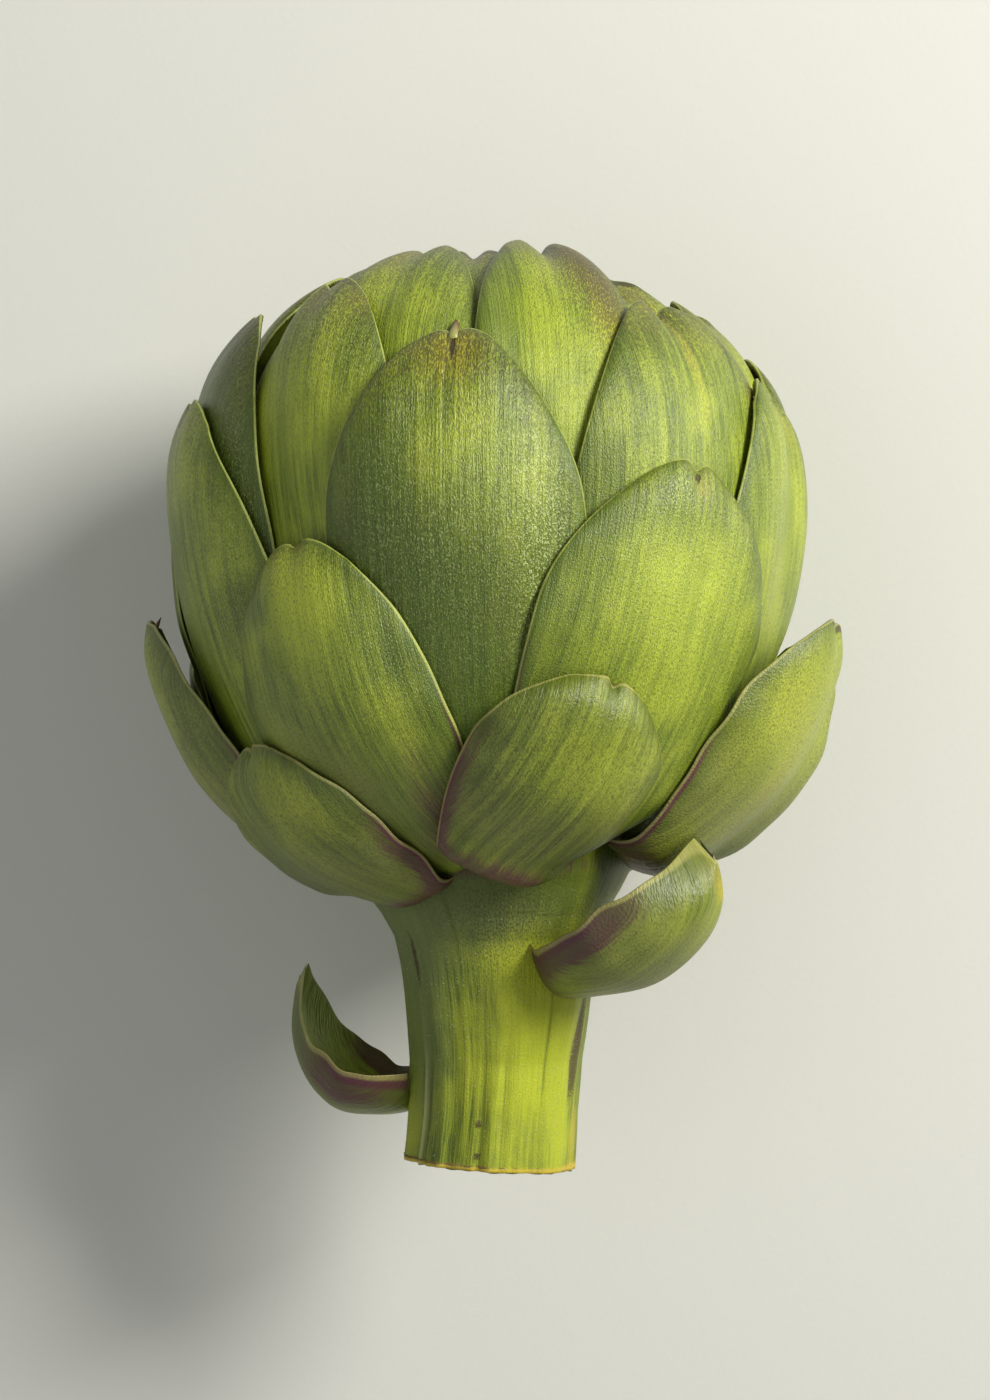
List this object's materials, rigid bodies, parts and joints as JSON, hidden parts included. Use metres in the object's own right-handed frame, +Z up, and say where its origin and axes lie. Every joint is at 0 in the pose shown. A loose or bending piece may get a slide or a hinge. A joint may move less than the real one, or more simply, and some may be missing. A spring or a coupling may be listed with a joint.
{
  "type": "artichoke",
  "caption": "Whole green globe artichoke lying on its side, with overlapping fleshy bracts closing to a rounded tip and a short cut stem.",
  "frame": {"origin": "centre of the bounding box's base, on the surface that the artichoke lies on", "axes": "+Y along the head's axis from the cut end of the stem to the closed tip, +Z up"},
  "size_m": [0.1184, 0.1583, 0.1056],
  "materials": {
    "stem": "matte, faintly ribbed and downy plant skin, with a paler cut end",
    "bud": "matte pale green plant flesh",
    "upper_bract": "waxy satin plant skin, finely streaked, speckled brown near the tips",
    "head_bract": "waxy satin plant skin, finely streaked, with yellow-brown tips",
    "lower_bract": "waxy satin plant skin with a silvery bloom and purple-brown feet",
    "stem_bract": "satin plant skin with purple-brown edges"
  },
  "bodies": {
    "root": {"stem": "stem", "inner_bud": "bud", "bract_crown_front": "upper_bract", "bract_crown_back": "upper_bract", "bract_crown_left": "upper_bract", "bract_crown_right": "upper_bract", "bract_crown_front_right": "upper_bract", "bract_crown_front_left": "upper_bract", "bract_crown_back_right": "upper_bract", "bract_crown_back_left": "upper_bract", "bract_upper_front": "upper_bract", "bract_upper_left_back": "upper_bract", "bract_upper_back": "upper_bract", "bract_upper_back_right": "upper_bract", "bract_upper_right_back": "upper_bract", "bract_upper_right": "upper_bract", "bract_upper_front_right": "upper_bract", "bract_upper_front_left": "upper_bract", "bract_shoulder_left": "head_bract", "bract_shoulder_right": "head_bract", "bract_shoulder_back_left": "head_bract", "bract_shoulder_back": "head_bract", "bract_shoulder_back_right": "head_bract", "bract_shoulder_right_back": "head_bract", "bract_shoulder_front": "head_bract", "bract_middle_right": "head_bract", "bract_middle_left": "head_bract", "bract_middle_left_back": "head_bract", "bract_middle_back_left": "head_bract", "bract_middle_back_right": "head_bract", "bract_middle_right_back": "head_bract", "bract_middle_back": "head_bract", "bract_middle_front_right": "head_bract", "bract_middle_front_left": "head_bract", "bract_lower_right_back": "lower_bract", "bract_lower_left_back": "lower_bract", "bract_lower_left": "lower_bract", "bract_lower_right": "lower_bract", "bract_lower_back_right": "lower_bract", "bract_lower_back_left": "lower_bract", "bract_lower_front": "lower_bract", "bract_lower_front_left": "lower_bract", "bract_lower_back": "lower_bract", "bract_stem_right": "stem_bract", "bract_stem_left": "stem_bract"}
  },
  "joints": []
}
